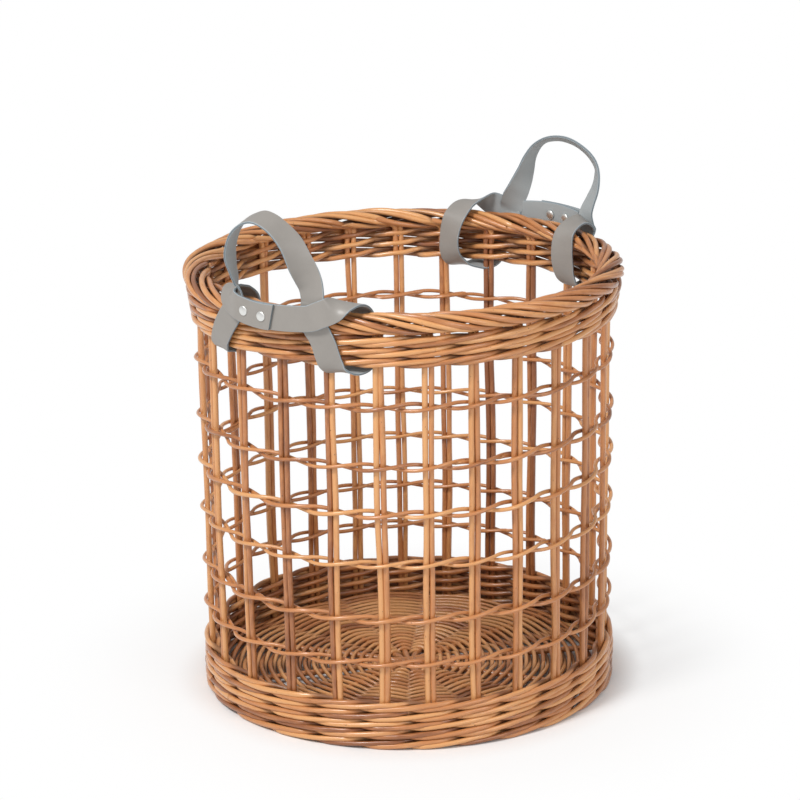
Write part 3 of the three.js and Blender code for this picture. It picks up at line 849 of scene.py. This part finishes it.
class AddHandles(Operator):
    """Wrap the leather straps round the rim and raise their loops"""

    bl_idname = "basket.handles"
    bl_label = "Leather handles"

    over_path = 224.65
    under_end = 35.0
    over_end = 7.0
    under_gap = 12.0
    rises = (3.0, 6.0)
    hinge_height = 452.0
    hinge_reach = 211.69
    blend_half = 5.5
    # How the folds leave the plain way round: lifted at first, leaning in degrees and inwards
    # between two shares of it, looking round it late, and pushed outwards at first
    lift = 4.0
    lift_share = 0.39
    lean = 28.0
    lean_in = 4.2
    lean_from = 0.1
    lean_to = 0.7
    late = 0.07
    push = (4.5, 0.0)
    push_to = 0.28
    steps = 8
    slant = 3.2
    # The way round the rim: radius and height of the strap's middle, from the outside over the
    # top, down inside, under the band and up again.
    way = (
        (218.6, 428.0), (217.6, 434.4), (213.0, 439.2), (203.4, 440.8),
        (193.6, 438.0), (188.4, 430.0), (186.4, 409.0), (187.4, 390.0),
        (192.0, 381.0), (201.0, 377.6), (209.2, 380.2), (213.0, 388.0),
        (215.2, 400.0), (217.6, 415.0), (218.6, 428.0),
    )
    # The folds of the half below and of the half on top: share of the fold's reach beyond the
    # foot, and share of the way round the rim.
    folds = (
        (
            (0.21, 0.04), (0.42, 0.077), (0.63, 0.133), (0.78, 0.19), (0.905, 0.267),
            (0.973, 0.345), (1.0, 0.42), (0.99, 0.5), (0.93, 0.56), (0.8, 0.61),
            (0.62, 0.65), (0.47, 0.69), (0.37, 0.74), (0.31, 0.8), (0.26, 0.86),
            (0.18, 0.92), (0.08, 0.97),
        ),
        (
            (0.16, 0.055), (0.33, 0.1), (0.49, 0.165), (0.62, 0.25), (0.71, 0.34),
            (0.78, 0.43), (0.86, 0.52), (0.95, 0.59), (1.0, 0.654), (0.96, 0.71),
            (0.82, 0.776), (0.6, 0.846), (0.36, 0.91), (0.15, 0.968),
        ),
    )
    # The loops: place along the hinge, height over it, place outwards from it, and where the
    # face looks, round from outwards and up, in degrees.
    loops = {
        "right": (
            (54, -21, 2.5, 8, 0), (50.5, -12, 1, 26, 6), (46, -3, 0, 43, 12),
            (41.2, 6, 0.5, 58, 14), (38.2, 16, 3.5, 73, 10), (36.4, 26, 7, 87, 10),
            (34, 40, 11, 98, 22), (26.4, 52.6, 14.5, 97, 46), (14, 59, 16.5, 66, 67),
            (0, 61.8, 17.2, 12, 68), (-18.7, 61, 17, -19, 54), (-39, 54, 15.3, -31, 38),
            (-54, 43.4, 12.2, -37, 18), (-58.8, 32.5, 9, -40, -4), (-59.2, 20.3, 5.5, -36, -14),
            (-56, 8.3, 2.2, -31, -16), (-53.3, -1.5, 0, -24, -10), (-52, -11, 0, -12, 0),
            (-51.5, -20, 1.5, 0, 0),
        ),
        "left": (
            (45.5, -12, 1.5, 0, 0), (45.5, -6.5, 0, 2, 0), (43.5, 6, -1, 10, 0),
            (41, 17, 1.5, 30, 0), (37.5, 30, 6.5, 54, 2), (31, 48, 11, 68, 16),
            (20.5, 61, 14.3, 72, 42), (10, 68.3, 16, 55, 66), (-1, 71, 16.6, 0, 77),
            (-13, 67.5, 15.7, -62, 66), (-27.8, 57.6, 13.4, -74, 40), (-38, 43.2, 10, -78, 15),
            (-43, 30.4, 7, -77, 3), (-44.5, 18.2, 2.5, -68, 0), (-45.5, 7, -2, -59, 0),
            (-45.3, -2, -5, -54, 0), (-44.3, -10, -3.5, -38, 0), (-43.5, -18, 1, -14, 0),
        ),
    }

    def execute(self, context):
        scene = context.scene
        strap = scene.basket_leather
        material = finish_named("Leather", leather_finish, strap)
        way = smooth_line(self.way, 10)
        ahead = np.gradient(way, axis=0)
        ahead /= np.linalg.norm(ahead, axis=1)[:, None]
        lengths = lengths_along(way)
        self.round = (lengths / lengths[-1], way[:, 0], way[:, 1], ahead[:, 1], -ahead[:, 0])
        for side, place, slip, lifted, feet, reaches in HANDLES:
            angle = handle_angle(place, slip)
            under = self.half(angle, lifted, 0, feet[0], reaches[0])
            over = self.half(angle, lifted, 1, feet[1], reaches[1], RIVET_SHIFTS[side])
            loop = [self.loop_row(angle, *row) for row in self.loops[side]]
            line = smooth_line(under + loop + over[::-1], self.steps)
            first = (len(under) + 1) * self.steps
            last = (len(under) + len(loop) - 2) * self.steps
            pieces = (
                (f"{side}_strap_under", line[: first + 1], 0.0),
                (f"{side}_carry_loop", line[first : last + 1], 0.0),
                (f"{side}_strap_over", line[last:], self.slant * MM),
            )
            for node, part, slant in pieces:
                mesh = strap_mesh(f"{node}_leather", part, strap, slant)
                body = None if node.endswith("loop") else "basket"
                piece = settle(mesh, material, body, node)
                if body is None:
                    x, y = turn_to(angle, self.hinge_reach)
                    start = (x * MM, y * MM, (self.hinge_height - self.blend_half) * MM)
                    end = (x * MM, y * MM, (self.hinge_height + self.blend_half) * MM)
                    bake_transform(piece)
        return {"FINISHED"}

    def half(self, angle, lifted, on_top, foot, reach, shift=0.0):
        """Stations of half a strap, from its riveted end to the leg of the loop."""
        way = -1.0 if on_top else 1.0
        rise = self.rises[on_top]
        start = -self.over_end - shift if on_top else -self.under_end
        end = self.under_end if on_top else foot - self.under_gap
        path = self.over_path if on_top else STRAP_PATH
        rows = []
        for along in (*np.linspace(start, end, 6), foot + 1.0):
            height = lap_height(along, foot, lifted, rise)
            radius = path if along < foot else STRAP_PATH
            rows.append(self.row(angle + way * along / STRAP_PATH, radius, height, 1.0, 0.0))
        for share, around in self.folds[on_top]:
            late = max(0.0, around - self.late * max(0.0, 1.0 - around / self.lift_share))
            radius, height = (np.interp(around, self.round[0], side) for side in self.round[1:3])
            out, up = (np.interp(late, self.round[0], side) for side in self.round[3:])
            lift = self.lift * max(0.0, 1.0 - around / self.lift_share)
            part = (around - self.lean_from) / (self.lean_to - self.lean_from)
            leaning = math.sin(math.pi * min(1.0, max(0.0, part))) ** 2
            turned = angle + way * (foot + (reach - foot) * share) / STRAP_PATH
            push = math.sin(math.pi * min(1.0, around / self.push_to)) ** 2
            radius += lift * out - self.lean_in * leaning + self.push[on_top] * push
            lean = -way * math.radians(self.lean) * leaning
            rows.append(self.row(turned, radius, height + lift * up, out, up, lean))
        return rows

    def row(self, angle, radius, height, out, up, lean=0.0):
        return (*turn_to(angle, radius), height, *turn_to(angle + lean, out), up)

    def loop_row(self, angle, along, above, out, round_turn, up_turn):
        x, y = turn_to(angle, self.hinge_reach + out, along)
        level, up = turn_to(math.radians(up_turn), 1.0)
        look = turn_to(angle + math.radians(round_turn), level)
        return (x, y, self.hinge_height + above, *look, up)


def strap_section(strap):
    """Corners round a strap with rounded edges: across and out in metres, edge and layer."""
    half = strap.width / 2.0
    thick = strap.thickness / 2.0
    bevel = strap.thickness * 0.27
    flat = np.array([-1.0, -0.96, -0.6, 0.0, 0.6, 0.96, 1.0]) * (half - bevel)
    bend = []
    for turn in (30.0, 60.0, 90.0):
        sweep = math.radians(turn)
        across = half - bevel + bevel * math.sin(sweep)
        bend.append((across, thick - bevel + bevel * math.cos(sweep)))
    rows = []
    for face in (1.0, -1.0):
        rows += [(face * across, face * thick, 0.0, 1.0) for across in flat]
        rows += [(face * across, face * out, 1.0, 0.8) for across, out in bend]
        rows.append((face * half, 0.0, 1.0, 0.0))
        rows += [(face * across, -face * out, 1.0, 0.8) for across, out in bend[::-1]]
    return np.array(rows)


def strap_mesh(name, line, strap, slant):
    """A leather strip along a line of points and looks, in millimetres, with a slanted end."""
    points = line[:, :3] * MM
    ahead = np.gradient(points, axis=0)
    ahead /= np.linalg.norm(ahead, axis=1)[:, None]
    look = line[:, 3:]
    look = look - ahead * np.sum(look * ahead, axis=1)[:, None]
    look /= np.linalg.norm(look, axis=1)[:, None]
    side = np.cross(look, ahead)
    section = strap_section(strap)
    count = len(section)
    rings = (
        points[:, None]
        + section[None, :, 0, None] * side[:, None]
        + section[None, :, 1, None] * look[:, None]
    )
    along = lengths_along(points)
    near_end = np.clip(1.0 - (along[-1] - along) / strap.width * 2.0, 0.0, 1.0)
    across = section[:, 0] / strap.width * 2.0
    rings += (slant * near_end[:, None] * across)[..., None] * ahead[:, None]
    lay = np.empty((len(points), count, 3))
    lay[..., 0] = section[:, 0]
    lay[..., 1] = along[:, None]
    lay[..., 2] = section[:, 1]
    faces = np.roll(tube_faces(0, len(points), count)[:, ::-1], 1, axis=1).tolist()
    first, last = rings.size // 3 + np.arange(2 * count).reshape(2, count)
    faces += [first.tolist(), last[::-1].tolist()]
    corners = np.vstack([*rings, rings[0], rings[-1]])
    mesh = make_mesh(name, corners, faces)
    note(mesh, "lay", np.vstack([*lay, lay[0], lay[-1]]))
    for kind, values, on_end in (
        ("edge", section[:, 2], 1.0),
        ("layer", section[:, 3], 0.5),
        ("flesh", section[:, 1] < 0.0, 0.0),
    ):
        sides = np.tile(values, len(points))
        note(mesh, kind, np.concatenate([sides, np.full(2 * count, on_end)]))
    return mesh


class AddRivets(Operator):
    """Set the rivets through the two ends of each strap"""

    bl_idname = "basket.rivets"
    bl_label = "Rivets"

    inner_face = 220.2
    outer_face = 225.7
    head = 4.75
    cap_rise = 1.7
    back_rise = 2.0
    brim = 0.3
    shank_share = 0.36
    sides = 40

    def execute(self, context):
        material = finish_named("Nickel", nickel_finish)
        for name, place, slip, lifted, feet, _ in HANDLES:
            for number, along in enumerate(RIVET_PLACES):
                along -= RIVET_SHIFTS[name]
                angle = handle_angle(place, slip) - along / STRAP_PATH
                height = lap_height(along, feet[1], lifted, AddHandles.rises[1])
                node = f"{name}_rivet_{number + 1}"
                mesh = self.turned(f"{node}_dome", angle, height)
                settle(mesh, material, "basket", node)
        return {"FINISHED"}

    def profile(self):
        """Radius and place along the rivet, from the middle of the back to the cap's top."""
        rows = []
        back = (self.inner_face, self.back_rise, -1.0)
        cap = (self.outer_face, self.cap_rise, 1.0)
        for face, rise, way in (back, cap):
            dome = []
            for turn in range(0, 91, 10):
                sweep = math.radians(turn)
                bulge = rise * (self.brim + (1.0 - self.brim) * math.cos(sweep) ** 0.8)
                dome.append((self.head * math.sin(sweep), face + way * bulge))
            dome.append((self.head, face))
            dome.append((self.head * self.shank_share, face))
            rows += dome if way < 0 else dome[::-1]
        return rows

    def turned(self, name, angle, height):
        """Turns the rivet's profile about the line that it points along."""
        rows = self.profile()
        turn = 2.0 * np.pi * np.arange(self.sides) / self.sides
        corners = []
        for radius, out in rows:
            x, y = turn_to(angle, out, radius * np.cos(turn))
            corners.append(np.stack([x, y, height + radius * np.sin(turn)], axis=1))
        faces = tube_faces(0, len(rows), self.sides).tolist()
        return make_mesh(name, np.vstack(corners) * MM, faces)


class AddStudio(Operator):
    """Lay the floor, hang the lamps and set up the camera"""

    bl_idname = "basket.studio"
    bl_label = "Studio"

    azimuth = -52.0
    elevation = 18.02
    roll = 0.015
    target = (0.0, 0.0, 0.248)
    distance = 3.075
    lens = 138.67
    shift = (-0.007125, 0.04775)
    # Lamps: how far right of the basket, before it and above it, as the camera sees it, and width
    key_lamp = ((-1.4, 1.5, 2.6), 0.7)
    fill_lamp = ((1.8, 2.2, 1.6), 1.4)
    # The floor turns white to the camera: share of white, from one distance to another
    white_rings = ((0.66, 0.2, 0.245), (0.34, 0.22, 0.4))

    def execute(self, context):
        scene = context.scene
        studio = scene.basket_studio
        scene.view_settings.view_transform = "Standard"
        self.camera(scene)
        self.floor(studio)
        self.surround(scene, studio)
        self.lamp("Key lamp", studio.key, *self.key_lamp)
        self.lamp("Fill lamp", studio.fill, *self.fill_lamp)
        return {"FINISHED"}

    def axes(self):
        a, e = math.radians(self.azimuth), math.radians(self.elevation)
        right = Vector((math.cos(a), math.sin(a), 0.0))
        back = Vector((math.sin(a) * math.cos(e), -math.cos(a) * math.cos(e), math.sin(e)))
        return right, back.cross(right), back

    def camera(self, scene):
        right, up, back = self.axes()
        x, y = turn_to(self.roll, right, up)
        data = bpy.data.cameras.new("Camera")
        data.lens = self.lens
        data.shift_x, data.shift_y = self.shift
        scene.camera = put("Camera", data)
        scene.camera.matrix_world = Matrix((x, y, back)).transposed().to_4x4()
        scene.camera.matrix_world.translation = Vector(self.target) + back * self.distance

    def lamp(self, name, power, place, size):
        """Hangs a soft round lamp that points at the basket."""
        right, _, back = self.axes()
        level = Vector((back.x, back.y, 0.0)).normalized()
        data = bpy.data.lights.new(name, "AREA")
        data.shape = "DISK"
        data.size = size
        data.energy = power
        thing = put(name, data)
        spot = right * place[0] + level * place[1] + Vector((0.0, 0.0, place[2]))
        thing.location = spot
        aim = Vector(self.target) - spot
        thing.rotation_euler = aim.to_track_quat("-Z", "Y").to_euler()

    def floor(self, studio):
        half = studio.floor_size / 2.0
        mesh = bpy.data.meshes.new("Floor")
        corners = [(-half, -half, 0.0), (half, -half, 0.0), (half, half, 0.0), (-half, half, 0.0)]
        mesh.from_pydata(corners, [], [(0, 1, 2, 3)])
        finish = Finish("Floor")
        where = finish.node("ShaderNodeTexCoord", {}, output="Object")
        far = finish.node("ShaderNodeVectorMath", {"operation": "LENGTH"}, where, output="Value")
        path = finish.node("ShaderNodeLightPath", {}, output="Is Camera Ray")
        glossy = finish.node("ShaderNodeLightPath", {}, output="Is Glossy Ray")
        seen = path.math("MAXIMUM", glossy)
        near, wide = (share * far.smooth(*reach) for share, *reach in self.white_rings)
        white = seen * (near + wide)
        glow = finish.node("ShaderNodeEmission", {}, Color=(1.0, 1.0, 1.0), Strength=1.0)
        speckle = finish.noise(where, 300.0)
        pale = finish.mix(speckle, shaded(studio.floor, 0.99), studio.floor)
        finish.dress(Base_Color=pale, Roughness=0.9)
        lit = Value(finish, finish.surface.outputs[0])
        both = finish.node("ShaderNodeMixShader", {}, white, lit, glow)
        finish.fill(finish.tree.nodes["Material Output"].inputs["Surface"], both)
        mesh.materials.append(finish.material)
        put("Floor", mesh)

    def surround(self, scene, studio):
        world = bpy.data.worlds.new("Surround")
        world.use_nodes = True
        scene.world = world
        tree = world.node_tree
        soft = tree.nodes["Background"]
        soft.inputs["Strength"].default_value = studio.sky
        white = tree.nodes.new("ShaderNodeBackground")
        path = tree.nodes.new("ShaderNodeLightPath")
        mixer = tree.nodes.new("ShaderNodeMixShader")
        tree.links.new(path.outputs["Is Camera Ray"], mixer.inputs[0])
        for index, light in ((1, soft), (2, white)):
            light.inputs["Color"].default_value = (1.0, 1.0, 1.0, 1.0)
            tree.links.new(light.outputs[0], mixer.inputs[index])
        tree.links.new(mixer.outputs[0], tree.nodes["World Output"].inputs["Surface"])


class BasketPanel(Panel):
    """Lists the pieces of the basket"""

    bl_idname = "VIEW3D_PT_basket"
    bl_label = "Basket"
    bl_space_type = "VIEW_3D"
    bl_region_type = "UI"
    bl_category = "Basket"

    def draw(self, context):
        for operator in OPERATORS:
            self.layout.operator(operator.bl_idname)


GROUPS = {
    "basket_rods": Rods,
    "basket_willow": Willow,
    "basket_leather": Leather,
    "basket_studio": Studio,
}
OPERATORS = (AddStudio, AddStakes, AddPairing, AddWaling, AddBorder, AddBase, AddHandles, AddRivets)


def register():
    for kind in (*GROUPS.values(), *OPERATORS, BasketPanel):
        bpy.utils.register_class(kind)
    for name, kind in GROUPS.items():
        setattr(bpy.types.Scene, name, PointerProperty(type=kind))


def unregister():
    for name in GROUPS:
        delattr(bpy.types.Scene, name)
    for kind in (BasketPanel, *OPERATORS, *GROUPS.values()):
        bpy.utils.unregister_class(kind)


def main():
    register()
    bpy.ops.basket.studio()
    bpy.ops.basket.stakes()
    bpy.ops.basket.pairing()
    bpy.ops.basket.waling()
    bpy.ops.basket.border()
    bpy.ops.basket.base()
    bpy.ops.basket.handles()
    bpy.ops.basket.rivets()


if __name__ == "__main__":
    main()
